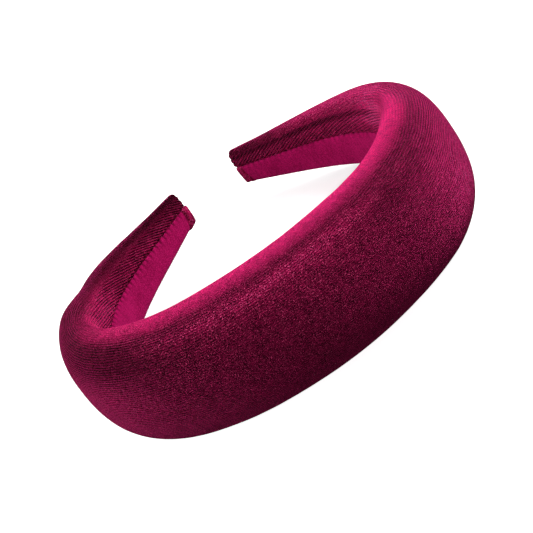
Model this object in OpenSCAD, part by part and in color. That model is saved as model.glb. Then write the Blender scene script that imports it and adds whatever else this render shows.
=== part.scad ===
// Padded headband: a springy hoop in a thick foam pad, covered in ribbed velvet.
// A smooth lining panel fills the lower half of its inner face, and the velvet is turned in over
// the lining's ends at the two tips. It lies on one edge, as it does on a table.
// X runs from arm to arm, Y from the crown to the tips, and Z is up. Sizes are millimetres.

/* [Band] */
// Length round the inside of the band, from tip to tip
band_length = 370; // [300:5:450]
// Angle that each arm turns through between the middle of the crown and its tip
arm_turn = 140; // [110:1:142]

/* [Padding] */
// Width of the padding at the middle of the crown
crown_width = 52.5; // [36:0.5:64]
// Thickness of the padding at the middle of the crown
crown_thickness = 25.5; // [14:0.5:32]
// Width of the covered band at a tip
tip_width = 15.5; // [12:0.5:20]
// Thickness of the covered band at a tip
tip_thickness = 5; // [4:0.25:9]
// Radius that rounds the end of each tip
tip_round = 1.5; // [0.8:0.1:1.8]
// How square the outside of a section is, where 2 is an ellipse
outer_fullness = 2.5; // [2:0.1:3.2]
// How square the inside of a section is, where 2 is an ellipse
inner_fullness = 2.1; // [1.7:0.1:2.6]
// Share of the thickness that lies between the inner face and the widest line
belly_share = 0.27; // [0.2:0.01:0.5]
// How far the padding flattens where it rests
rest_dent = 0.4; // [0:0.1:1]

/* [Lining] */
// Height of the stitched seam above the middle of the inner face, at the crown
seam_rise_crown = 2.9; // [0:0.1:6]
// Height of the stitched seam above the middle of the inner face, at a tip
seam_rise_tip = 0.5; // [0:0.1:2]
// Angle of the section left bare between the lining and the band's lower edge
lining_stop = 20; // [14:1:35]
// Thickness of the lining
lining_thickness = 1; // [0.8:0.1:1.4]
// How far the lining stands proud of the velvet beside it
lining_proud = 0.2; // [0:0.1:0.5]
// Clearance between the lining and the bed that it lies in
lining_gap = 0.1; // [0.05:0.05:0.2]

/* [Tip folds] */
// Length of velvet between each tip and the lining's end
fold_length = 5; // [4:0.5:9]
// Thickness of the turned velvet
fold_thickness = 1.4; // [1.1:0.1:1.8]

/* [Hidden] */

velvet_colour = "#6b0f33";
lining_colour = "#8a1646";

// Columns of the table below
place = 0;
turn = 1;
width = 2;
thickness = 3;
// Rows run from the crown to a tip. Each holds its place along the arm, the share of the arm's turn
// made by then, and how much of the difference between crown and tip its width and thickness keep.
sections = [
    [0.0, 0.000, 1.000, 1.000],
    [0.2, 0.170, 0.970, 0.940],
    [0.4, 0.490, 0.855, 0.790],
    [0.6, 0.785, 0.580, 0.565],
    [0.8, 0.985, 0.260, 0.260],
    [1.0, 1.000, 0.000, 0.000],
];
last_row = len(sections) - 1;

arm_length = band_length / 2;
bed_depth = lining_thickness - lining_proud + lining_gap;
arm_steps = 26;
velvet_steps = 27;
bed_steps = 7;
path_steps = 200;
lean_steps = 14;
round_angles = [30, 60, 90];

// Rate of change of a column at a row, from the rows beside it
function slope(column, row) =
    row == 0 && column != turn ? 0
    : let (a = sections[max(row - 1, 0)], b = sections[min(row + 1, last_row)])
      (b[column] - a[column]) / (b[place] - a[place]);

// Value of a column at a share of the arm, on a smooth curve through the rows
function along(column, share) =
    let (row = min(last_row - 1, max([for (i = [0:last_row]) if (sections[i][place] <= share) i])),
         a = sections[row], b = sections[row + 1],
         step = b[place] - a[place], x = (share - a[place]) / step)
    a[column] * (1 + 2 * x) * pow(1 - x, 2) + slope(column, row) * step * x * pow(1 - x, 2)
    + b[column] * x * x * (3 - 2 * x) + slope(column, row + 1) * step * x * x * (x - 1);

// Places along the band are shares of an arm: 0 at the crown, -1 at the left tip and 1 at the right
function heading(share) = sign(share) * arm_turn * along(turn, abs(share));
function half_width(share) = (tip_width + (crown_width - tip_width) * along(width, abs(share))) / 2;
function depth(share) = tip_thickness + (crown_thickness - tip_thickness) * along(thickness, abs(share));

// Middle line of the inner face, found by walking down one arm in short steps
path_step = arm_length / path_steps;
path = [for (i = 0, p = [0, 0]; i <= path_steps;
             p = p + path_step * [cos(heading((i + 0.5) / path_steps)), sin(heading((i + 0.5) / path_steps))],
             i = i + 1) p];
path_x = [for (i = [0:path_steps]) [i / path_steps, path[i][0]]];
path_y = [for (i = [0:path_steps]) [i / path_steps, path[i][1]]];
function middle(share) = [sign(share) * lookup(abs(share), path_x), lookup(abs(share), path_y), 0];
function outward(share) = [sin(heading(share)), -cos(heading(share)), 0];

// A station is a place along the band, how far its section is drawn in there to round a tip,
// and how deep the bed of the lining is
gap_share = lining_gap / arm_length;
fold_start = 1 - fold_length / arm_length;
round_start = 1 - tip_round / arm_length;
bed_end = round_start - gap_share;
round_tip = [for (a = round_angles) [round_start + (1 - round_start) * sin(a), tip_round * (1 - cos(a)), 0]];
body_stations = [for (i = [-arm_steps:arm_steps]) [fold_start * i / arm_steps, 0, bed_depth]];
right_end = concat([[bed_end, 0, bed_depth], [round_start, 0, 0]], round_tip);
band_stations = concat(mirrored(right_end), body_stations, right_end);
fold_stations = [[fold_start + 2 * gap_share, 0, bed_depth], [bed_end - gap_share, 0, bed_depth]];
function mirrored(stations) =
    [for (i = [len(stations) - 1:-1:0]) [-stations[i][0], stations[i][1], stations[i][2]]];

// Section outline, as a height above the band's mid plane and a distance out from the inner face.
// Angle 0 is the upper edge, 90 the outside, 180 the lower edge and 270 the middle of the inner face.
function fullness(angle) = sin(angle) < 0 ? inner_fullness : outer_fullness;
function reach(angle, share) = depth(share) * (sin(angle) < 0 ? belly_share : 1 - belly_share);
function signed_pow(x, power) = sign(x) * pow(abs(x), power);
function outline(angle, share) =
    let (power = 2 / fullness(angle))
    [half_width(share) * signed_pow(cos(angle), power),
     depth(share) * belly_share + reach(angle, share) * signed_pow(sin(angle), power)];
function outline_normal(angle, share) =
    let (power = 2 - 2 / fullness(angle),
         n = [signed_pow(cos(angle), power) / half_width(share), signed_pow(sin(angle), power) / reach(angle, share)])
    n / norm(n);

// Point of the band, a distance off its outline, with the section drawn in at a rounded tip
function band_point(station, angle, off) =
    let (share = station[0], inset = station[1], thick = depth(share), half = half_width(share),
         p = outline(angle, share) + off * outline_normal(angle, share),
         height = p[0] * (half - inset) / half,
         out = thick / 2 + (p[1] - thick / 2) * (thick - 2 * inset) / thick)
    middle(share) + out * outward(share) + [0, 0, height];

// Angles of the lining's stitched upper seam and of its lower edge
function seam_rise(share) = seam_rise_crown + (seam_rise_tip - seam_rise_crown) * abs(share);
function seam_angle(share) = 360 - acos(pow(seam_rise(share) / half_width(share), inner_fullness / 2));
stop_angle = 180 + lining_stop;
// Angle that steps a small distance along the outline
function nudge(angle, share, distance) = distance / norm(outline(angle + 1, share) - outline(angle, share));
// Both ends of the lining's part of the section, each drawn in by a distance
function lining_span(share, inset) =
    let (seam = seam_angle(share))
    [stop_angle + nudge(stop_angle, share, inset), seam - nudge(seam, share, inset)];

// Evenly spaced values, both ends included
function spread(from, to, steps) = [for (i = [0:steps]) from + (to - from) * i / steps];

function band_ring(station) =
    let (share = station[0], bed = lining_span(share, lining_gap))
    concat([for (a = spread(seam_angle(share), stop_angle + 360, velvet_steps)) band_point(station, a, 0)],
           [for (a = spread(bed[0], bed[1], bed_steps)) band_point(station, a, -station[2])]);

// A strip lies in the bed, standing proud of the velvet by the distance given
function strip_ring(station, proud) =
    let (strip = lining_span(station[0], 2 * lining_gap))
    concat([for (a = spread(strip[1], strip[0], bed_steps)) band_point(station, a, proud)],
           [for (a = spread(strip[0], strip[1], bed_steps)) band_point(station, a, lining_gap - station[2])]);

band_rings = [for (s = band_stations) band_ring(s)];

// The band leans back until its lowest point is under its balance point, and is lowered to the table
function lean(p, angle) =
    [p[0], p[1] * cos(angle) + p[2] * sin(angle), p[2] * cos(angle) - p[1] * sin(angle)];
function sum(list) = list * [for (i = list) 1];
slice_weights = [for (s = body_stations) half_width(s[0]) * depth(s[0])];
slice_places = [for (s = body_stations) middle(s[0])[1] + outward(s[0])[1] * depth(s[0]) / 2];
balance = [0, slice_weights * slice_places / sum(slice_weights), 0];
underside = [for (ring = band_rings) each [for (p = ring) if (p[2] < 0) p]];
function lowest(points) =
    let (low = min([for (p = points) p[2]]))
    [for (p = points) if (p[2] == low) p][0];
function resting_lean(from, to, steps) =
    let (angle = (from + to) / 2, low = lowest([for (p = underside) lean(p, angle)]))
    steps == 0 ? angle
    : low[1] > lean(balance, angle)[1] ? resting_lean(from, angle, steps - 1)
    : resting_lean(angle, to, steps - 1);
rest_lean = resting_lean(0, 15, lean_steps);
leaned = [for (ring = band_rings) each [for (p = ring) lean(p, rest_lean)]];
rest_shift = [0, -(min([for (p = leaned) p[1]]) + max([for (p = leaned) p[1]])) / 2,
              -lowest(leaned)[2] - rest_dent];
upright = [0, sin(rest_lean), cos(rest_lean)];
// Points below the table slide up inside their own section until they lie on it
function rested(p) =
    let (q = lean(p, rest_lean) + rest_shift)
    q[2] >= 0 ? q : q - upright * q[2] / upright[2];

// A solid through rings of points, closed at each end by a ladder across the ring
module loft(rings) {
    count = len(rings[0]);
    last = (len(rings) - 1) * count;
    walls = [for (i = [0:len(rings) - 2], k = [0:count - 1])
        let (a = i * count + k, b = i * count + (k + 1) % count)
        each [[a, b, b + count], [a, b + count, a + count]]];
    start_cap = [for (k = [0:count / 2 - 2])
        each [[count - 2 - k, k + 1, k], [count - 1 - k, count - 2 - k, k]]];
    end_cap = [for (face = start_cap) [face[2] + last, face[1] + last, face[0] + last]];
    polyhedron([for (ring = rings) each [for (p = ring) rested(p)]], concat(walls, start_cap, end_cap));
}

module padded_band() {
    color(velvet_colour) loft(band_rings);
}

module lining() {
    color(lining_colour) loft([for (s = body_stations) strip_ring(s, lining_proud)]);
}

module tip_fold(stations) {
    color(velvet_colour) loft([for (s = stations) strip_ring(s, fold_thickness + lining_gap - bed_depth)]);
}

padded_band();
lining();
tip_fold(mirrored(fold_stations));  // tip_fold_left
tip_fold(fold_stations);  // tip_fold_right
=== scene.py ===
import math
from bisect import bisect_right

import bmesh
import bpy
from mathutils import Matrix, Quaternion, Vector, noise


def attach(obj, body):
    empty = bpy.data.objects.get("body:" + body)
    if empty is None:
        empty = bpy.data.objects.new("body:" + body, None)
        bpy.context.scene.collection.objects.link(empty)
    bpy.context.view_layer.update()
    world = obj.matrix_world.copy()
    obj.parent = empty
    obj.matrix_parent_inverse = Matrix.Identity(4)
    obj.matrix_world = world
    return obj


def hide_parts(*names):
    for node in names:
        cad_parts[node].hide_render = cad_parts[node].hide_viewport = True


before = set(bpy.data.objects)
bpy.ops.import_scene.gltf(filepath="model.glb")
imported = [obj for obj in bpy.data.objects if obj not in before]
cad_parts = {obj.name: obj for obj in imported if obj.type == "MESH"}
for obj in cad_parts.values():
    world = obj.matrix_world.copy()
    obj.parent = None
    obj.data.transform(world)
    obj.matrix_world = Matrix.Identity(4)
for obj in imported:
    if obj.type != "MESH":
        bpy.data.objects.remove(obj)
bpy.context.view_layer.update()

mm = 0.001
tiny = 1e-6

# The band's own shape, with the CAD model's sizes. Places along it are shares of an arm:
# 0 at the crown, -1 at the left tip and 1 at the right tip.
band = {
    "armLength": 185 * mm,
    "armTurn": math.radians(140),
    "crownWidth": 52.5 * mm,
    "crownThickness": 25.5 * mm,
    "tipWidth": 15.5 * mm,
    "tipThickness": 5 * mm,
    "tipRound": 1.5 * mm,
    "leftTipShort": 1.1 * mm,  # the left tip's velvet is drawn in this much further
    "leftShortFrom": 0.9,
    "outerFullness": 2.5,
    "innerFullness": 2.1,
    "bellyShare": 0.27,
    "seamRiseCrown": 2.9 * mm,
    "seamRiseTip": 0.5 * mm,
    "liningStop": math.radians(200),
    "foldLength": 5 * mm,
    "leanBack": math.radians(5.0725),  # it lies on two patches of its lower edge, below its balance point
    "restShift": Vector((0, -49.856, 25.742)) * mm,
    "pathSteps": 400,
}
# Place along an arm, share of the arm's turn, and shares of the crown's extra width and thickness
sectionRows = [
    (0.0, 0.000, 1.000, 1.000),
    (0.2, 0.170, 0.970, 0.940),
    (0.4, 0.490, 0.855, 0.790),
    (0.6, 0.785, 0.580, 0.565),
    (0.8, 0.985, 0.260, 0.260),
    (1.0, 1.000, 0.000, 0.000),
]
turnColumn, widthColumn, thicknessColumn = 1, 2, 3


def slopeAtRow(column, row):
    if row == 0 and column != turnColumn:
        return 0
    before, after = sectionRows[max(row - 1, 0)], sectionRows[min(row + 1, len(sectionRows) - 1)]
    return (after[column] - before[column]) / (after[0] - before[0])


def alongArm(column, share):
    place = abs(share)
    row = max(i for i, r in enumerate(sectionRows[:-1]) if r[0] <= place)
    before, after = sectionRows[row], sectionRows[row + 1]
    step = after[0] - before[0]
    x = (place - before[0]) / step
    return (before[column] * (1 + 2 * x) * (1 - x) ** 2 + slopeAtRow(column, row) * step * x * (1 - x) ** 2
            + after[column] * x * x * (3 - 2 * x) + slopeAtRow(column, row + 1) * step * x * x * (x - 1))


def headingAt(share):
    return math.copysign(band["armTurn"] * alongArm(turnColumn, share), share)


def halfWidthAt(share):
    extra = band["crownWidth"] - band["tipWidth"]
    return (band["tipWidth"] + extra * alongArm(widthColumn, share)) / 2


def thicknessAt(share):
    extra = band["crownThickness"] - band["tipThickness"]
    return band["tipThickness"] + extra * alongArm(thicknessColumn, share)


def walkArm(steps):
    step = band["armLength"] / steps
    points = [Vector((0, 0, 0))]
    for i in range(steps):
        turn = headingAt((i + 0.5) / steps)
        points.append(points[-1] + Vector((math.cos(turn), math.sin(turn), 0)) * step)
    return points


armPath = walkArm(band["pathSteps"])


def middleAt(share):
    at = abs(share) * (len(armPath) - 1)
    low = min(int(at), len(armPath) - 2)
    point = armPath[low].lerp(armPath[low + 1], at - low)
    return Vector((math.copysign(point.x, share), point.y, 0))


def signedPower(x, power):
    return math.copysign(abs(x) ** power, x)


def eased(x):
    x = min(max(x, 0), 1)
    return x * x * (3 - 2 * x)


# 0 up to the first value of a span and 1 beyond its second
def rising(x, span):
    return eased((x - span[0]) / (span[1] - span[0]))


# 1 at a place, and falling off evenly on both sides of it
def bell(x, place, spread):
    return math.exp(-((x - place) / spread) ** 2)


# Height above the mid plane and distance out from the inner face. Angle 0 is the upper edge of a
# section, 90 degrees its outside, 180 its lower edge and 270 the middle of its inner face.
def sectionPoint(share, angle, off=0):
    half, thick = halfWidthAt(share), thicknessAt(share)
    inside = math.sin(angle) < 0
    power = 2 / band["innerFullness" if inside else "outerFullness"]
    reach = thick * (band["bellyShare"] if inside else 1 - band["bellyShare"])
    up, out = math.cos(angle), math.sin(angle)
    normal = Vector((signedPower(up, 2 - power) / half, signedPower(out, 2 - power) / reach)).normalized()
    height, outward = half * signedPower(up, power), reach * signedPower(out, power)
    return Vector((height, thick * band["bellyShare"] + outward)) + off * normal


# A point of the band in its own flat frame, with the section drawn in where a tip is rounded
def bandPoint(share, angle, off=0, drawnIn=0, closed=0):
    half, thick, turn = halfWidthAt(share), thicknessAt(share), headingAt(share)
    height, out = sectionPoint(share, angle, off)
    height *= (half - drawnIn) / half * (1 - closed)
    out = thick / 2 + (out - thick / 2) * (thick - 2 * drawnIn) / thick * (1 - closed)
    nearLeftTip = max((-share - band["leftShortFrom"]) / (1 - band["leftShortFrom"]), 0)
    shortened = band["leftTipShort"] * nearLeftTip ** 2 / band["armLength"]
    outward = Vector((math.sin(turn), -math.cos(turn), 0))
    return middleAt(share + shortened) + outward * out + Vector((0, 0, height))


# The band lies leaned back, and what would be below the table slides up inside its own section
def laidDown(point):
    lean = band["leanBack"]
    upright = Vector((0, math.sin(lean), math.cos(lean)))
    back = Vector((0, math.cos(lean), -math.sin(lean)))
    placed = Vector((point.x, 0, 0)) + back * point.y + upright * point.z + band["restShift"]
    return placed - upright * (min(placed.z, 0) / upright.z)


def seamAngleAt(share):
    rise = band["seamRiseCrown"] + (band["seamRiseTip"] - band["seamRiseCrown"]) * abs(share)
    return -math.acos((rise / halfWidthAt(share)) ** (band["innerFullness"] / 2))


runSteps = 40


# Angles across part of a section, and how far round the surface each is from the first
def surfaceRun(share, first, last, steps=4 * runSteps):
    angles = [first + (last - first) * i / steps for i in range(steps + 1)]
    points = [sectionPoint(share, a) for a in angles]
    run = [0]
    for a, b in zip(points, points[1:]):
        run.append(run[-1] + (b - a).length)
    return angles, run


def valueAt(places, values, place):
    i = min(max(bisect_right(places, place) - 1, 0), len(places) - 2)
    share = (place - places[i]) / (places[i + 1] - places[i])
    return values[i] + (values[i + 1] - values[i]) * min(max(share, 0), 1)


# Shares from 0 to 1 that lie closer together towards both ends
def easedShares(count, closeness):
    bend = closeness / (2 * math.pi)
    return [i / count - bend * math.sin(2 * math.pi * i / count) for i in range(count + 1)]


def hexColour(code):
    channels = [int(code[i:i + 2], 16) / 255 for i in (1, 3, 5)]
    return tuple(c / 12.92 if c <= 0.04045 else ((c + 0.055) / 1.055) ** 2.4 for c in channels) + (1,)


def addNode(material, kind, inputs=None, links=None, **settings):
    node = material.node_tree.nodes.new("ShaderNode" + kind)
    for name, value in settings.items():
        setattr(node, name, value)
    for socket, value in (inputs or {}).items():
        node.inputs[socket].default_value = value
    for socket, source in (links or {}).items():
        material.node_tree.links.new(source, node.inputs[socket])
    return node


def newMaterial(name):
    material = bpy.data.materials.new(name)
    material.use_nodes = True
    material.node_tree.nodes.clear()
    return material


def finishPiece(bm, name, material):
    bmesh.ops.recalc_face_normals(bm, faces=bm.faces)
    mesh = bpy.data.meshes.new(name)
    bm.to_mesh(mesh)
    bm.free()
    mesh.shade_smooth()
    piece = bpy.data.objects.new(name, mesh)
    bpy.context.scene.collection.objects.link(piece)
    mesh.materials.append(material)
    return piece


# What a live modifier makes becomes the piece's own mesh
def applied(piece, kind, **settings):
    modifier = piece.modifiers.new(kind.lower(), kind)
    for name, value in settings.items():
        setattr(modifier, name, value)
    made = bpy.data.meshes.new_from_object(piece.evaluated_get(bpy.context.evaluated_depsgraph_get()))
    piece.modifiers.clear()
    piece.data = made


# Vertices of a grid by row and column, which create_grid makes from -1 to 1
def gridByPlace(bm, rows, columns):
    return {(round((v.co.y + 1) / 2 * rows), round((v.co.x + 1) / 2 * columns)): v for v in bm.verts}


# One sum of sockets and plain numbers
def addMath(material, operation, *values, **settings):
    plain = {i: v for i, v in enumerate(values) if isinstance(v, (int, float))}
    sources = {i: v for i, v in enumerate(values) if i not in plain}
    return addNode(material, "Math", plain, sources, operation=operation, **settings).outputs[0]


# Levels are the lowest and highest value in, then the lowest and highest value out
def addRange(material, source, levels):
    ends = dict(zip(("From Min", "From Max", "To Min", "To Max"), levels))
    return addNode(material, "MapRange", ends, {"Value": source}).outputs[0]


def addNoise(material, place, scale, detail=2.0, roughness=0.5, dimensions="3D"):
    inputs = {"Scale": scale, "Detail": detail, "Roughness": roughness}
    node = addNode(material, "TexNoise", inputs, {"Vector": place}, noise_dimensions=dimensions)
    return node.outputs["Fac"]


# Noise over the cloth's own map, in spots of one size along the band and another across it
def addClothNoise(material, fabric, along, across, **settings):
    scale = (fabricUnit / along, fabricUnit / across, 1)
    place = addNode(material, "Mapping", {"Scale": scale}, {"Vector": fabric}).outputs[0]
    return addNoise(material, place, 1.0, dimensions="2D", **settings)


# Either colour is a hex code or a socket
def addMix(material, share, first, second, **settings):
    given = {"Fac": share, "Color1": first, "Color2": second}
    colours = {k: hexColour(v) for k, v in given.items() if isinstance(v, str)}
    numbers = {k: v for k, v in given.items() if isinstance(v, float)}
    sources = {k: v for k, v in given.items() if k not in colours and k not in numbers}
    return addNode(material, "MixRGB", colours | numbers, sources, **settings).outputs[0]


def addBump(material, distance, **sources):
    return addNode(material, "Bump", {"Distance": distance, "Strength": 1.0}, sources).outputs[0]


def attributeOf(material, name, output="Fac"):
    return addNode(material, "Attribute", attribute_name=name).outputs[output]


# Cloth has hardly any gloss, but its pile shines where it is seen along the surface
def finishCloth(material, look, colour, normal):
    surface = addNode(material, "BsdfPrincipled", {
        "Roughness": 0.9,
        "Specular IOR Level": 0.02,
        "Sheen Weight": look["sheen"],
        "Sheen Roughness": look["sheenRoughness"],
        "Sheen Tint": hexColour(look["sheenColour"]),
    }, {"Base Color": colour, "Normal": normal})
    addNode(material, "OutputMaterial", links={"Surface": surface.outputs[0]})
    return material


fabricUnit = 0.1  # UV maps of the fabrics are in tenths of a metre

velvetLook = {
    "cordSpacing": 0.9 * mm,
    "cordWander": 1.0 * mm,
    "wanderLength": 18 * mm,
    "cordHeight": 0.8 * mm,
    "cordContrast": 0.8,
    "napAlong": 0.25,  # how far the pile leans towards the right tip
    "tuftLength": 0.8 * mm,
    "tuftWidth": 0.4 * mm,
    "tuftLevels": (0.34, 0.66, 0.55, 1.1),
    "pileGrain": 0.4 * mm,  # real pile is far finer, so it is drawn as coarse as it needs to show
    "pileHeight": 0.15 * mm,
    "grainLevels": (0.3, 0.7, -0.42, 0.42),
    "crushedPatch": 2.6 * mm,
    "crushedLevels": (0.35, 0.65, -0.18, 0.18),
    "glintLevels": (0.57, 0.69, 0.0, 1.0),
    "paleHighlightLevels": (3.6, 6.0, 0.0, 0.3),
    "grooveColour": "#1e010d",
    "cordColour": "#971246",
    "glintColour": "#e24c7e",
    "paleHighlightColour": "#e890b0",
    "paintedShadeColour": "#170107",
    "sheen": 1.0,
    "sheenRoughness": 0.2,
    "sheenColour": "#ff398d",
}


# Corded cotton velvet: a deep wine pile that swallows light seen straight on, and throws it back
# bright pink where it is seen along the surface. Fine cords with grooves between run along the band.
def cordedVelvet():
    look = velvetLook
    material = newMaterial("cordedCottonVelvet")
    fabric = addNode(material, "UVMap", uv_map="fabric").outputs[0]
    place = addNode(material, "TexCoord").outputs["Object"]
    across = addNode(material, "SeparateXYZ", links={"Vector": fabric}).outputs["Y"]
    wander = addNoise(material, place, 1 / look["wanderLength"])
    shift = addMath(material, "MULTIPLY", wander, look["cordWander"] / look["cordSpacing"])
    cordNumber = addMath(material, "MULTIPLY_ADD", across, fabricUnit / look["cordSpacing"], shift)
    wave = addMath(material, "SINE", addMath(material, "MULTIPLY", cordNumber, 2 * math.pi))
    cord = addMath(material, "MULTIPLY_ADD", wave, 0.5, 0.5)

    # Where the cloth is stretched flat its grooves open out, and a row of deeper grooves on the right arm
    # also carries painted shade. Tufts break each cord into short lengths.
    groove = addMath(material, "SUBTRACT", 1.0, cord)
    grooveShown = addMath(material, "MULTIPLY", groove, attributeOf(material, "cording"))
    tufts = addClothNoise(material, fabric, look["tuftLength"], look["tuftWidth"], roughness=0.6)
    tuftLevel = addRange(material, tufts, look["tuftLevels"])
    relief = addMath(material, "MULTIPLY", addMath(material, "SUBTRACT", 1.0, grooveShown), tuftLevel)

    grain = addNoise(material, place, 1 / look["pileGrain"], roughness=0.75)
    crushed = addNoise(material, place, 1 / look["crushedPatch"], detail=3.0, roughness=0.6)
    grainAndGlints = attributeOf(material, "grainAndGlints")
    grainShown = addMath(material, "MULTIPLY", addRange(material, grain, look["grainLevels"]), grainAndGlints)
    speckled = addMath(material, "MULTIPLY_ADD", relief, look["cordContrast"], grainShown)
    crushedLevel = addRange(material, crushed, look["crushedLevels"])
    shade = addMath(material, "ADD", speckled, crushedLevel, use_clamp=True)
    pile = addMix(material, shade, look["grooveColour"], look["cordColour"])
    # Glints: painted highlights where single fibres catch the light
    glints = addRange(material, grain, look["glintLevels"])
    glintShown = addMath(material, "MULTIPLY", glints, grainAndGlints, use_clamp=True)
    glinting = addMix(material, glintShown, pile, look["glintColour"])
    # Painted light and shade: patch by patch the colour is made lighter where light falls and darker where it
    # doesn't, which also stands for the lay of the nap
    napAndPaintedLight = attributeOf(material, "napAndPaintedLight", "Color")
    lifted = addMix(material, 1.0, glinting, napAndPaintedLight, blend_type="MULTIPLY", use_clamp=True)
    # Where the painted light is strongest, over the bends, a pale painted highlight is mixed into the lighter
    # cords
    paleHighlight = addRange(material, attributeOf(material, "napAndPaintedLight"), look["paleHighlightLevels"])
    paler = addMix(material, addMath(material, "MULTIPLY", paleHighlight, shade), lifted, look["paleHighlightColour"])
    # Painted shade in the stitch tucks along the seam, and in the tip folds' creases and corner
    colour = addMix(material, attributeOf(material, "paintedShade"), paler, look["paintedShadeColour"])

    # The pile leans, so it is lit and seen as if the cloth were turned that way
    lean = (0.5 + 0.5 * look["napAlong"], 0.5, 1, 1)
    nap = addNode(material, "NormalMap", {"Strength": 1.0, "Color": lean}, uv_map="fabric").outputs[0]
    cordBump = addBump(material, look["cordHeight"], Height=relief, Normal=nap)
    pileBump = addBump(material, look["pileHeight"], Height=grain, Normal=cordBump)
    return finishCloth(material, look, colour, pileBump)


velourLook = {
    "grain": 0.45 * mm,
    "grainHeight": 0.1 * mm,
    "streakWidth": 0.9 * mm,
    "streakLength": 7 * mm,
    "streakShare": 0.15,
    "wornPatch": 7 * mm,
    "wornShare": 0.25,
    "pileLevels": (0.53, 0.87, 0.0, 1.0),
    "darkColour": "#84053f",
    "lightColour": "#cc196b",
    "paintedShadeColour": "#3c0218",
    "sheen": 0.7,
    "sheenRoughness": 0.4,
    "sheenColour": "#ff4aa0",
}


# Smooth short-pile velour: pinker and more even than the velvet, with faint streaks across the band
def shortPileVelour():
    look = velourLook
    material = newMaterial("shortPileVelour")
    fabric = addNode(material, "UVMap", uv_map="fabric").outputs[0]
    place = addNode(material, "TexCoord").outputs["Object"]
    grain = addNoise(material, place, 1 / look["grain"], roughness=0.75)
    streaks = addClothNoise(material, fabric, look["streakWidth"], look["streakLength"], detail=1.0)
    streaked = addMath(material, "MULTIPLY_ADD", streaks, look["streakShare"], grain)
    worn = addNoise(material, place, 1 / look["wornPatch"])
    patched = addMath(material, "MULTIPLY_ADD", worn, look["wornShare"], streaked)
    level = addRange(material, patched, look["pileLevels"])
    pile = addMix(material, level, look["darkColour"], look["lightColour"])
    # Painted shade at the stitches and along the seam
    colour = addMix(material, attributeOf(material, "paintedShade"), pile, look["paintedShadeColour"])
    return finishCloth(material, look, colour, addBump(material, look["grainHeight"], Height=grain))


velvet, velour = cordedVelvet(), shortPileVelour()

# The seam between velvet and lining: each stitch pulls a small tuck into the velvet, darkened with painted
# shade
seam = {
    "stitchSpacing": 2.7 * mm,
    "stitchSharpness": 2.5,
    "stitchJitter": 0.22,
    "jitterLength": 3.5 * mm,
    "tuckSlant": 9 * mm,  # distance from the seam over which a tuck slants by one stitch
    "grooveDepth": 0.35 * mm,
    "grooveWidth": 0.7 * mm,
    "tuckDepth": 0.36 * mm,
    "tuckReach": 0.7 * mm,
    "lift": 0.2 * mm,
    "liftReach": 1.2 * mm,
    "dotPlace": 0.45 * mm,
    "dotRadius": 0.46 * mm,
    "leftDots": 1.9,  # the left arm's stitches show larger
    "lineShade": 0.25,
    "lineWidth": 0.35 * mm,
    "shade": 0.75,
}


# 1 at a stitch and 0 half way to the next
def stitchPull(along, slant=0):
    jitter = seam["stitchJitter"] * noise.noise(Vector((along / seam["jitterLength"], 0.5, 7.5)))
    turn = along / seam["stitchSpacing"] + jitter + slant
    return (0.5 + 0.5 * math.cos(2 * math.pi * turn)) ** seam["stitchSharpness"]


# How far the velvet stands off its smooth shape near a seam, and how much painted shade its tucks and the
# seam line get
def velvetAtSeam(along, distance):
    pull = stitchPull(along, distance / seam["tuckSlant"])
    reach = distance / seam["liftReach"]
    off = (seam["lift"] * (1 - pull) * reach * math.exp(1 - reach)
           - seam["grooveDepth"] * bell(distance, 0, seam["grooveWidth"])
           - seam["tuckDepth"] * pull * math.exp(-distance / seam["tuckReach"]))
    size = seam["leftDots"] if along < 0 else 1
    dot = pull * bell(distance / size, seam["dotPlace"], seam["dotRadius"])
    return off, max(dot, seam["lineShade"] * bell(distance, 0, seam["lineWidth"]))


cover = {
    "ringSpacing": 1.8 * mm,
    "columns": 30,
    "edgeCloseness": 0.7,
    "bedColumns": 3,
    "bedDepth": 0.9 * mm,
    "bedRound": 0.2 * mm,
    "tipAngles": (30, 60, 90),
    "tipClosing": (0.35, 0.7, 1),
    "weldDistance": 0.005 * mm,
    "pushWidth": 3 * mm,
    "heldWidth": 5 * mm,
    "heldAtTips": 20 * mm,
    "swellPressure": 16,
    "swellFrames": 20,
    "swellStart": 0.25 * mm,
    "swellLimit": 0.6 * mm,
    "calmWidth": 4 * mm,
    "unevenness": 0.22 * mm,
    "unevenLength": 24 * mm,
    "smallUnevenness": 0.05 * mm,
    "smallLength": 6 * mm,
    # Where the left arm's foam ends: place, spread and rise
    "shoulders": [(-0.575, 0.035, 0.5 * mm), (-0.66, 0.03, -0.45 * mm)],
    "gatherReach": 2.4 * mm,
    "gatherDepth": 0.7,
    "scallopStart": 0.6 * mm,
    "scallopWidth": 2.4 * mm,
    "scallopDepth": 0.45 * mm,
    "cornerDepth": 0.8 * mm,
    "cornerPower": 6,
}
bodyEnd = 1 - band["tipRound"] / band["armLength"]  # where the rounding of the tips starts


# Share, how far the section is drawn in, and how far it is closed towards its middle
def coverStations():
    count = round(bodyEnd * band["armLength"] / cover["ringSpacing"])
    body = [(bodyEnd * i / count, 0, 0) for i in range(-count, count + 1)]
    rounding = [(bodyEnd + (1 - bodyEnd) * math.sin(a), band["tipRound"] * (1 - math.cos(a)), 0)
                for a in (math.radians(angle) for angle in cover["tipAngles"])]
    right = rounding + [(1, band["tipRound"], closed) for closed in cover["tipClosing"]]
    return [(-s, d, c) for s, d, c in reversed(right)] + body + right


def armOf(share):
    return "right" if share > 0 else "left"


# From here on, a span along an arm is in shares and a span or row round the section in degrees
cords = {
    "bendDrift": -5 * mm,
    "bendDriftSpan": (0.40, 0.85),
    "tipDrift": 50 * mm,
    "tipDriftFrom": 0.62,
    "armStretch": {"left": 0.22, "right": 0.36},
    "armStretchSpan": (0.30, 0.65),
    "rightBendStretch": 0.12,
    "rightBend": (0.38, 0.14),
}


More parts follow.
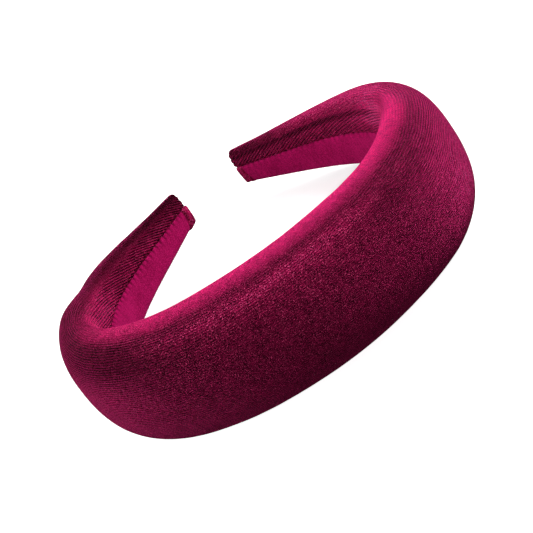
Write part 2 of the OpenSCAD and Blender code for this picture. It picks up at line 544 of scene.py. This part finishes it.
# Cords run along the crown and wind down towards the seam on the arms
def cordDrift(share):
    place = abs(share)
    return (cords["bendDrift"] * rising(place, cords["bendDriftSpan"])
            + cords["tipDrift"] * max(place - cords["tipDriftFrom"], 0) ** 2)


# How much wider apart they lie on the inner side of the arms, and on the outside of the right bend
def cordStretch(share, inside):
    if inside:
        return 1 + cords["armStretch"][armOf(share)] * rising(abs(share), cords["armStretchSpan"])
    return 1 + cords["rightBendStretch"] * bell(share, *cords["rightBend"])


smooth = {
    "lower": (-80, -55),
    "upper": (14.8, 28.8),
    "bendShift": -22,  # the upper end's place moves by this towards the bends
    "bendSpan": (0.36, 0.48),
    "end": (0.47, 0.57),
    "leftFrom": -0.25,
    "leftShare": 0.7,
}


# 1 where the velvet is stretched smooth: over the crown's upper edge and round the inside of the bends
def smoothAt(share, turn):
    place = abs(share)
    shift = smooth["bendShift"] * rising(place, smooth["bendSpan"])
    across = rising(turn, smooth["lower"]) * (1 - rising(turn - shift, smooth["upper"]))
    shown = smooth["leftShare"] if share < smooth["leftFrom"] else 1
    return shown * across * (1 - rising(place, smooth["end"]))


openStrip = {
    "arms": (0.50, 0.62),
    "lower": {"left": (-54, -44), "right": (-50, -44)},
    "upper": (45, 75),
}


# 1 on the upper strip of the arms, where the pile stands too open to show its cords
def openStripAt(share, turn):
    return (rising(abs(share), openStrip["arms"]) * rising(turn, openStrip["lower"][armOf(share)])
            * (1 - rising(turn, openStrip["upper"])))


cording = {
    "crown": 0.45,
    "crownEnd": {"left": (0.10, 0.30), "right": (0.15, 0.35)},
    "bends": {"left": 0.1, "right": 0.3},
    "bendSpan": (0.20, 0.40),
    "shadedTeeth": 1.5,
    "teethArm": (0.52, 0.62),
    "teethRow": (-53, 5),
    "smoothLoss": 0.9,
    "openLoss": 0.85,
    "least": 0.05,
}


# Cords show most at the bends and on the arms, and more on the right than on the left
def cordingAt(share, turn):
    place, arm = abs(share), armOf(share)
    shown = cording["crown"] + (1 - cording["crown"]) * rising(place, cording["crownEnd"][arm])
    shown *= 1 + cording["bends"][arm] * rising(place, cording["bendSpan"])
    # A row of deeper cords on the right arm stands for the dark teeth where the light grazes: relief and
    # painted shade both
    if arm == "right":
        shown += cording["shadedTeeth"] * rising(place, cording["teethArm"]) * bell(turn, *cording["teethRow"])
    shown -= cording["smoothLoss"] * smoothAt(share, turn) + cording["openLoss"] * openStripAt(share, turn)
    return max(shown, cording["least"])


grainAndGlintShares = {
    "salt": 0.4,
    "saltRow": (38, 13),
    "saltEnd": (0.25, 0.40),
    "leftFace": 0.6,
    "leftFaceStart": (0.08, 0.23),
    "leftFaceEnd": (0.35, 0.50),
    "leftFaceUpper": (45, 60),
    "open": 0.25,
    "smoothLoss": 0.75,
    "clearLoss": 0.4,
    "clearArm": (0.42, 0.52),
    "clearUpper": (-46, -32),
}


# The grain and the glints, which are painted highlights, are strongest just below the crown's upper edge, and
# weak among the clear cords inside the arms
def grainAndGlintsAt(share, turn):
    place = abs(share)
    salt = bell(turn, *grainAndGlintShares["saltRow"]) * (1 - rising(place, grainAndGlintShares["saltEnd"]))
    leftFace = (rising(-share, grainAndGlintShares["leftFaceStart"]) * (1 - rising(-share, grainAndGlintShares["leftFaceEnd"]))
                * rising(turn, grainAndGlintShares["leftFaceUpper"]))
    clearCords = rising(place, grainAndGlintShares["clearArm"]) * (1 - rising(turn, grainAndGlintShares["clearUpper"]))
    return (1 + grainAndGlintShares["salt"] * salt + grainAndGlintShares["leftFace"] * leftFace
            + grainAndGlintShares["open"] * openStripAt(share, turn) - grainAndGlintShares["smoothLoss"] * smoothAt(share, turn)
            - grainAndGlintShares["clearLoss"] * clearCords)


# Where the foam is fuller or flatter than its plain sections: share and its spread, section angle
# and its spread, rise
foamLumps = [
    (0.38, 0.10, -22, 32, 2.0 * mm),
    (0.58, 0.12, 22, 40, 0.9 * mm),
    (0.37, 0.07, 75, 30, -0.8 * mm),
    (0.30, 0.10, 132, 25, 0.6 * mm),
    (0.75, 0.16, 202, 24, 0.8 * mm),
    (-0.80, 0.18, 210, 24, 0.8 * mm),
    (-0.65, 0.06, 21, 30, -0.5 * mm),
]


def foamRise(share, turn):
    return sum(rise * bell(share, place, spread) * bell(turn, middle, turnSpread)
               for place, spread, middle, turnSpread, rise in foamLumps)


# Subdivision draws a cage in where it bends, so the cage is pushed out by as much beforehand
def pushOut(bm, shareOf):
    shifts = {}
    for v in bm.verts:
        if len(v.link_edges) == 4 and [len(f.verts) for f in v.link_faces] == [4] * 4:
            beside = [e.other_vert(v) for e in v.link_edges]
            corners = [w for f in v.link_faces for w in f.verts if w is not v and w not in beside]
            near, far = (sum((w.co for w in group), Vector()) for group in (beside, corners))
            drawn = (16 * v.co + 4 * near + far) / 36
            shifts[v] = (v.co - drawn) * shareOf(v)
    for v, shift in shifts.items():
        v.co += shift


# Painted light and shade, which also stands for the lay of the nap: where the colour is made lighter or
# darker.
# Share and its spread, section angle and its spread, doublings of the colour
napAndPaintedLightPatches = [
    (0.03, 0.47, -18, 28, 1.8),  # the crown's upper edge: a painted highlight
    (0.02, 0.40, 11, 10, 0.6),
    (-0.03, 0.19, 28, 5.5, -0.6),
    (0.00, 0.38, 41, 8, 0.6),
    (-0.04, 0.18, 84, 48, 0.6),  # the middle of the crown's face
    (0.28, 0.12, 46, 24, -0.7),
    (0.36, 0.08, 110, 20, 0.6),
    (-0.34, 0.09, 8, 22, 0.25),
    (-0.33, 0.07, -24, 14, 0.6),
    (-0.46, 0.08, 40, 30, 0.25),
    (0.46, 0.08, -14, 14, -0.7),
    (0.60, 0.07, -62, 12, 0.8),
    (0.49, 0.12, -58, 32, 2.1),  # inside the bends
    (-0.55, 0.13, -72, 40, 1.6),
    (-0.45, 0.09, -45, 22, 0.9),
    (-0.55, 0.17, -2, 30, -1.0),
    (0.46, 0.12, 12, 30, 0.9),
    (0.72, 0.21, -10, 34, 1.1),  # the right arm: its upper strip, its edges and the strip above the seam
    (0.77, 0.22, -53, 6, -0.4),
    (0.80, 0.25, 8, 16, -0.5),
    (-0.80, 0.25, 8, 16, -0.6),
    (0.95, 0.08, -42, 10, -0.8),
    (-0.93, 0.10, -88, 14, 0.6),
    (0.75, 0.08, -62, 6, 0.5),
    (0.82, 0.25, -74, 26, 0.9),
    (0.95, 0.12, -8, 30, -1.7),
    (-0.95, 0.30, -3, 36, -2.6),  # the left arm's upper strip, its tip, and the strip above the seam
    (-0.98, 0.14, -20, 50, -0.9),
    (-0.80, 0.20, -68, 30, 0.9),
    (0.40, 0.15, 84, 42, 1.3),  # outside the bends
    (-0.37, 0.10, 95, 38, 0.5),
    (-0.36, 0.10, 44, 26, -1.1),
    (0.80, 0.40, 192, 18, 2.2),  # the hems below the lining: painted light where the lamps don't reach
    (-0.80, 0.40, 192, 18, 2.2),
]
mostDoublings = 2.6


# Each patch has a flat middle and soft edges
def napAndPaintedLightAt(share, turn):
    doublings = 0
    for place, spread, middle, turnSpread, amount in napAndPaintedLightPatches:
        away = ((share - place) / spread) ** 4 + abs((turn - middle) / turnSpread) ** 3
        doublings += amount * math.exp(-away)
    return 2 ** min(doublings, mostDoublings)


def makeCover():
    stations = coverStations()
    rings, columns = len(stations) - 1, cover["columns"] + cover["bedColumns"]
    bm = bmesh.new()
    bmesh.ops.create_grid(bm, x_segments=columns, y_segments=rings, size=1)
    names = ("along", "seamward", "hemward", "turned")
    along, seamward, hemward, turned = (bm.verts.layers.float.new(name) for name in names)
    fabric = bm.loops.layers.uv.new("fabric")
    shares = easedShares(cover["columns"], cover["edgeCloseness"])
    acrossCords = {}
    grid = gridByPlace(bm, rings, columns)
    for ring, (share, drawnIn, closed) in enumerate(stations):
        top = seamAngleAt(share)
        angles, run = surfaceRun(share, top, band["liningStop"])
        outside, upperEdge = valueAt(angles, run, math.pi / 2), valueAt(angles, run, 0)
        bedAngles, bedRun = surfaceRun(share, band["liningStop"], top + 2 * math.pi)
        depth = cover["bedDepth"] if abs(share) < bodyEnd - tiny else 0
        for column in range(columns + 1):
            vert = grid[ring, column]
            vert[along] = share * band["armLength"]
            if column <= cover["columns"]:
                distance = run[-1] * shares[column]
                angle, off = valueAt(run, angles, distance), 0
                vert[seamward], vert[hemward] = distance, run[-1] - distance
                across = outside - distance
            else:
                distance = bedRun[-1] * (column - cover["columns"]) / cover["bedColumns"]
                inset = min(distance, bedRun[-1] - distance)
                angle, off = valueAt(bedRun, bedAngles, distance), -depth * min(inset / cover["bedRound"], 1)
                vert[seamward], vert[hemward] = distance - bedRun[-1], -distance
                across = outside - run[-1] - distance
            turn = vert[turned] = math.degrees(angle)
            inner = max(upperEdge - distance, 0) if column <= cover["columns"] else 0
            acrossCords[vert] = ((across - inner) / cordStretch(share, False)
                                 + inner / cordStretch(share, True) - cordDrift(share))
            vert.co = bandPoint(share, angle, off + foamRise(share, turn), drawnIn, closed)
    for face in bm.faces:
        for loop in face.loops:
            loop[fabric].uv = (loop.vert[along] / fabricUnit, acrossCords[loop.vert] / fabricUnit)
    bmesh.ops.remove_doubles(bm, verts=bm.verts, dist=cover["weldDistance"])
    pushOut(bm, lambda v: eased(min(v[seamward], v[hemward]) / cover["pushWidth"]))
    return bm


def valuesOf(mesh, name):
    return [entry.value for entry in mesh.attributes[name].data]


# Foam swells the cover between its seams. Seams, bed and tips are held, and no point moves further
# than the limit.
def swellCover(piece):
    mesh = piece.data
    along, seamward, hemward = (valuesOf(mesh, n) for n in ("along", "seamward", "hemward"))
    held = piece.vertex_groups.new(name="held")
    normals = [v.normal.copy() for v in mesh.vertices]
    for v, normal in zip(mesh.vertices, normals):
        i = v.index
        edge = min(seamward[i], hemward[i]) / cover["heldWidth"]
        free = eased(min(edge, (band["armLength"] - abs(along[i])) / cover["heldAtTips"]))
        held.add([i], 1 - free, "REPLACE")
        v.co -= normal * cover["swellStart"] * free
    start = [v.co.copy() for v in mesh.vertices]
    cloth = piece.modifiers.new("foamSwell", "CLOTH")
    cloth.settings.vertex_group_mass = held.name
    cloth.settings.use_pressure = True
    cloth.settings.uniform_pressure_force = cover["swellPressure"]
    cloth.settings.effector_weights.gravity = 0
    cloth.point_cache.frame_start, cloth.point_cache.frame_end = 1, cover["swellFrames"]
    scene = bpy.context.scene
    for step in range(1, cover["swellFrames"] + 1):
        scene.frame_set(step)
        evaluated = piece.evaluated_get(bpy.context.evaluated_depsgraph_get())
    swollen = [v.co.copy() for v in evaluated.data.vertices]
    piece.modifiers.clear()
    scene.frame_set(1)
    moves = [now - before for now, before in zip(swollen, start)]
    for v, before, move in zip(mesh.vertices, start, moves):
        reach = move.length / cover["swellLimit"]
        v.co = before + move * (math.tanh(reach) / max(reach, tiny))
    print("cover swelled by", round(max(m.length for m in moves) / mm, 2), "mm at most,",
          round(sum(m.length for m in moves) / len(moves) / mm, 2), "mm on average")
    piece.vertex_groups.clear()


# How far the velvet stands off the swollen shape, and how dark it is
def velvetOff(point, along, toSeam, toHem):
    share = along / band["armLength"]
    off, dark = velvetAtSeam(along, toSeam)
    off -= seam["grooveDepth"] * bell(toHem, 0, seam["grooveWidth"])
    uneven = (cover["unevenness"] * noise.noise(point / cover["unevenLength"])
              + cover["smallUnevenness"] * noise.noise(point / cover["smallLength"] + Vector((5, 2, 1))))
    shoulder = sum(rise * bell(share, place, spread) for place, spread, rise in cover["shoulders"])
    return off + eased(min(toSeam, toHem) / cover["calmWidth"]) * (uneven + shoulder), dark


# How far a tip's gathered end is drawn in, between its scallops and at its corners
def gatheredIn(point, along, toSeam):
    near = eased((abs(along) - band["armLength"]) / cover["gatherReach"] + 1)
    if near == 0:
        return 0
    share = along / band["armLength"]
    scallop = abs(math.sin(math.pi * (toSeam - cover["scallopStart"]) / cover["scallopWidth"] + share))
    corner = (point.z / halfWidthAt(share)) ** cover["cornerPower"]
    return near * ((cover["gatherDepth"] - scallop) * cover["scallopDepth"] + corner * cover["cornerDepth"])


# Small shapes and the places of the velvet's looks, point by point. Then the cover is laid on the table.
def shapeCover(piece):
    mesh = piece.data
    along, seamward, hemward, turned = (valuesOf(mesh, n) for n in ("along", "seamward", "hemward", "turned"))
    valueFor = {"cording": cordingAt, "grainAndGlints": grainAndGlintsAt, "napAndPaintedLight": napAndPaintedLightAt}
    names = ["paintedShade", *valueFor]
    for name in names:
        mesh.attributes.new(name, "FLOAT", "POINT")
    looks = {name: mesh.attributes[name].data for name in names}
    shaped = []
    for v in mesh.vertices:
        i = v.index
        share = along[i] / band["armLength"]
        off, dark = 0, 0
        if min(seamward[i], hemward[i]) >= 0:
            off, dark = velvetOff(v.co, along[i], seamward[i], hemward[i])
        heading = headingAt(share)
        outward = Vector((math.cos(heading), math.sin(heading), 0)) * math.copysign(1, share)
        shaped.append(v.co + v.normal * off - outward * gatheredIn(v.co, along[i], seamward[i]))
        # Painted shade at the seam's tucks and along the seam line
        looks["paintedShade"][i].value = min(dark * seam["shade"], 1)
        for name, valueOf in valueFor.items():
            looks[name][i].value = valueOf(share, turned[i])
    for v, co in zip(mesh.vertices, shaped):
        v.co = laidDown(co)


coverPiece = finishPiece(makeCover(), "velvetCover", velvet)
print("cover laid out:", len(coverPiece.data.vertices), "points")
swellCover(coverPiece)
applied(coverPiece, "SUBSURF", levels=2, render_levels=2)
shapeCover(coverPiece)
print("cover shaped:", len(coverPiece.data.polygons), "faces")
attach(coverPiece, "root")
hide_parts("padded_band")

lining = {
    "ringSpacing": 0.45 * mm,
    "columns": 16,
    "edgeCloseness": 0.7,
    "underFold": 1.5 * mm,
    "proud": 0.3 * mm,
    "edgeDrop": 0.45 * mm,
    "edgeRound": 0.8 * mm,
    "scallop": 0.3 * mm,
    "scallopReach": 0.8 * mm,
    "bulge": 0.1 * mm,
    "bulgeReach": 0.9 * mm,
    "unevenness": 0.06 * mm,
    "unevenLength": 14 * mm,
    "unevenWidth": 9 * mm,
    "dotShade": 0.7,
    "leftDotShade": 0.91,
    "leftDotRadius": 1.8 * mm,
    "lineShade": 0.42,
    "lineWidth": 0.3 * mm,
    "cloth": 0.4 * mm,
    "flat": (0.0285, 0.360),
    "flatArea": 0.0078,
}


# A strip of velour that bulges between its stitches and is pulled in at each, with its edges turned down
def makeLining():
    end = 1 - (band["foldLength"] - lining["underFold"]) / band["armLength"]
    rings = round(2 * end * band["armLength"] / lining["ringSpacing"])
    bm = bmesh.new()
    bmesh.ops.create_grid(bm, x_segments=lining["columns"], y_segments=rings, size=1)
    fabric = bm.loops.layers.uv.new("fabric")
    paintedShade = bm.verts.layers.float.new("paintedShade")
    shares = easedShares(lining["columns"], lining["edgeCloseness"])
    grid, fabricPlace = gridByPlace(bm, rings, lining["columns"]), {}
    for ring in range(rings + 1):
        share = end * (2 * ring / rings - 1)
        along = share * band["armLength"]
        angles, run = surfaceRun(share, band["liningStop"], seamAngleAt(share) + 2 * math.pi, runSteps)
        pull = stitchPull(along)
        for column, part in enumerate(shares):
            distance = run[-1] * part
            inset, toSeam = min(distance, run[-1] - distance), run[-1] - distance
            nearSeam = math.exp(-toSeam / lining["bulgeReach"])
            off = lining["proud"] - lining["edgeDrop"] * bell(inset, 0, lining["edgeRound"])
            off += lining["bulge"] * (1 - 2 * pull) * nearSeam
            place = Vector((along / lining["unevenLength"], distance / lining["unevenWidth"], 3))
            off += lining["unevenness"] * noise.noise(place)
            off += foamRise(share, math.degrees(valueAt(run, angles, distance)))
            grown = distance + lining["scallop"] * (1 - 2 * pull) * math.exp(-toSeam / lining["scallopReach"])
            vert = grid[ring, column]
            vert.co = laidDown(bandPoint(share, valueAt(run, angles, grown), off))
            # Painted shade at each stitch and along the seam line
            dot = (lining["dotShade"] * nearSeam if share > 0
                   else lining["leftDotShade"] * bell(toSeam, 0, lining["leftDotRadius"]))
            vert[paintedShade] = max(pull * dot, lining["lineShade"] * bell(toSeam, 0, lining["lineWidth"]))
            fabricPlace[vert] = (along / fabricUnit, distance / fabricUnit)
    for face in bm.faces:
        for loop in face.loops:
            loop[fabric].uv = fabricPlace[loop.vert]
    return bm


liningPiece = finishPiece(makeLining(), "liningPanel", velour)
applied(liningPiece, "SOLIDIFY", thickness=lining["cloth"], offset=-1)
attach(liningPiece, "root")
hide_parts("lining")
print("lining laid:", len(liningPiece.data.polygons), "faces")

tipFold = {
    "rows": 22,
    "columns": 40,
    "fromTip": 0.5 * mm,
    "lengthAtHem": 5.6 * mm,
    "lengthAtSeam": 3.6 * mm,
    "lengthWander": 0.35 * mm,
    "pastHem": 0.15,
    "height": 0.75 * mm,
    "sunk": 0.3 * mm,
    "edgeRound": 0.55 * mm,
    "cloth": 0.5 * mm,
    "crease": 0.3 * mm,
    "creaseLength": 1.1 * mm,
    "creaseWidth": 2.6 * mm,
    "creaseShade": 0.4,
    "cornerShade": 0.7,
    "cornerPlace": (0.12, 0.22),
    "cornerFromTip": (2.2 * mm, 1.6 * mm),
    "napAndPaintedLight": 2.3,
    "cording": 0.1,
    "grainAndGlints": 1.0,
    "flat": (0.010, 0.010),
    "flatArea": 0.000050,
}


# Velvet turned in over the lining's end and pressed down, with a soft edge and small creases. Painted shade
# darkens its creases, and the left one's lower corner.
def makeTipFold(side):
    rows, columns = tipFold["rows"], tipFold["columns"]
    bm = bmesh.new()
    bmesh.ops.create_grid(bm, x_segments=columns, y_segments=rows, size=1)
    fabric = bm.loops.layers.uv.new("fabric")
    names = ("paintedShade", "cording", "grainAndGlints", "napAndPaintedLight")
    paintedShade, cordingShown, grainAndGlints, napAndPaintedLight = (bm.verts.layers.float.new(name) for name in names)
    grid, fabricPlace = gridByPlace(bm, rows, columns), {}
    for (row, column), vert in grid.items():
        part = column / columns
        length = tipFold["lengthAtHem"] + (tipFold["lengthAtSeam"] - tipFold["lengthAtHem"]) * part
        length += tipFold["lengthWander"] * noise.noise(Vector((part * 5, side * 4, 2)))
        fromTip = tipFold["fromTip"] + (length - tipFold["fromTip"]) * row / rows
        share = side * (1 - fromTip / band["armLength"])
        start = band["liningStop"] - tipFold["pastHem"]
        angles, run = surfaceRun(share, start, seamAngleAt(share) + 2 * math.pi, runSteps)
        distance = run[-1] * part
        inset = max(min(distance, run[-1] - distance, length - fromTip, fromTip), 0)
        rounded = 1 - math.exp(-(inset / tipFold["edgeRound"]) ** 1.5)
        creasePlace = Vector((fromTip / tipFold["creaseLength"], distance / tipFold["creaseWidth"], side * 9))
        crease = noise.noise(creasePlace)
        off = (tipFold["height"] + tipFold["sunk"] + tipFold["crease"] * crease) * rounded - tipFold["sunk"]
        drawnIn = band["tipRound"] * (1 - math.sqrt(1 - max(1 - fromTip / band["tipRound"], 0) ** 2))
        vert.co = laidDown(bandPoint(share, valueAt(run, angles, distance), off, drawnIn))
        # Painted shade in the creases, and at the left fold's lower corner
        corner = bell(part, *tipFold["cornerPlace"]) * bell(fromTip, *tipFold["cornerFromTip"])
        cornerShade = tipFold["cornerShade"] if side < 0 else 0
        vert[paintedShade] = tipFold["creaseShade"] * max(-crease, 0) + cornerShade * corner
        # The fold is made lighter with painted light
        vert[napAndPaintedLight], vert[cordingShown] = tipFold["napAndPaintedLight"], tipFold["cording"]
        vert[grainAndGlints] = tipFold["grainAndGlints"]
        fabricPlace[vert] = (distance / fabricUnit, fromTip / fabricUnit)
    for face in bm.faces:
        for loop in face.loops:
            loop[fabric].uv = fabricPlace[loop.vert]
    return bm


for side, name in ((-1, "left"), (1, "right")):
    fold = finishPiece(makeTipFold(side), name + "TipFold", velvet)
    applied(fold, "SOLIDIFY", thickness=tipFold["cloth"], offset=-1)
    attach(fold, "root")
    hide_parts("tip_fold_" + name)
print("tip folds turned in")

floor = {
    "size": 4.0,
    "colour": "#f4f4f4",
    "glowFront": 0.95,
    "glowBack": 0.35,
    "fadeFrom": -50 * mm,
    "fadeTo": 10 * mm,
}


# White paper, flat white, with a painted glow that thins shadows: strongest in front of the crown and weaker
# behind it
def mattePaper():
    material = newMaterial("matteWhitePaper")
    place = addNode(material, "TexCoord").outputs["Object"]
    depth = addNode(material, "SeparateXYZ", links={"Vector": place}).outputs["Y"]
    levels = [floor[name] for name in ("fadeFrom", "fadeTo", "glowFront", "glowBack")]
    surface = addNode(material, "BsdfPrincipled", {
        "Base Color": hexColour(floor["colour"]),
        "Roughness": 1.0,
        "Specular IOR Level": 0.0,
        "Emission Color": (1, 1, 1, 1),
    }, {"Emission Strength": addRange(material, depth, levels)})
    addNode(material, "OutputMaterial", links={"Surface": surface.outputs[0]})
    return material


def makeFloor():
    bm = bmesh.new()
    bmesh.ops.create_grid(bm, x_segments=1, y_segments=1, size=floor["size"] / 2)
    piece = finishPiece(bm, "paperFloor", mattePaper())
    piece.visible_diffuse = piece.visible_glossy = False  # the paper throws no light back up at the velvet


makeFloor()

lights = {
    "world": 0.17,
    "softboxes": {
        "rightTop": {"place": (0.70, 0.00, 0.70), "size": 0.5, "power": 11.3},
        "leftTop": {"place": (-0.70, 0.00, 0.70), "size": 0.5, "power": 3.4},
        "backTop": {"place": (-0.50, 0.50, 0.70), "size": 0.5, "power": 2.5},
        "backLow": {"place": (0.00, 0.92, 0.40), "size": 0.5, "power": 4.0},
        "left": {"place": (-0.95, 0.00, 0.30), "size": 0.5, "power": 4.5},
    },
}


def addSoftbox(name, place, size, power):
    light = bpy.data.lights.new(name, "AREA")
    light.size, light.energy = size, power
    lamp = bpy.data.objects.new(name, light)
    lamp.location = place
    lamp.rotation_mode = "QUATERNION"
    lamp.rotation_quaternion = (Vector((0, 0, 0.02)) - Vector(place)).to_track_quat("-Z", "Y")
    bpy.context.scene.collection.objects.link(lamp)


world = bpy.data.worlds.new("studio")
world.use_nodes = True
world.node_tree.nodes["Background"].inputs["Color"].default_value = (1, 1, 1, 1)
world.node_tree.nodes["Background"].inputs["Strength"].default_value = lights["world"]
bpy.context.scene.world = world
for name, softbox in lights["softboxes"].items():
    addSoftbox(name, **softbox)

# The photograph's view: the camera is rolled, so that the headband's right side goes up
view = {
    "target": Vector((-1.79, -10.16, 18.96)) * mm,
    "azimuth": math.radians(-0.81),
    "elevation": math.radians(30.70),
    "roll": math.radians(35.59),
    "distance": 845 * mm,
    "lens": 155.4,
    "sensor": 36,
    "nearest": 10 * mm,
}


def makeCamera():
    camera = bpy.data.objects.new("photoView", bpy.data.cameras.new("photoView"))
    a, e = view["azimuth"], view["elevation"]
    back = Vector((math.sin(a) * math.cos(e), -math.cos(a) * math.cos(e), math.sin(e)))
    camera.location = view["target"] + back * view["distance"]
    camera.rotation_mode = "QUATERNION"
    camera.rotation_quaternion = (-back).to_track_quat("-Z", "Y") @ Quaternion((0, 0, 1), -view["roll"])
    camera.data.lens = view["lens"]
    camera.data.sensor_width = view["sensor"]
    camera.data.clip_start = view["nearest"]
    bpy.context.scene.collection.objects.link(camera)
    bpy.context.scene.camera = camera


makeCamera()
bpy.context.scene.view_settings.view_transform = "Standard"
print("floor, lights and camera set")
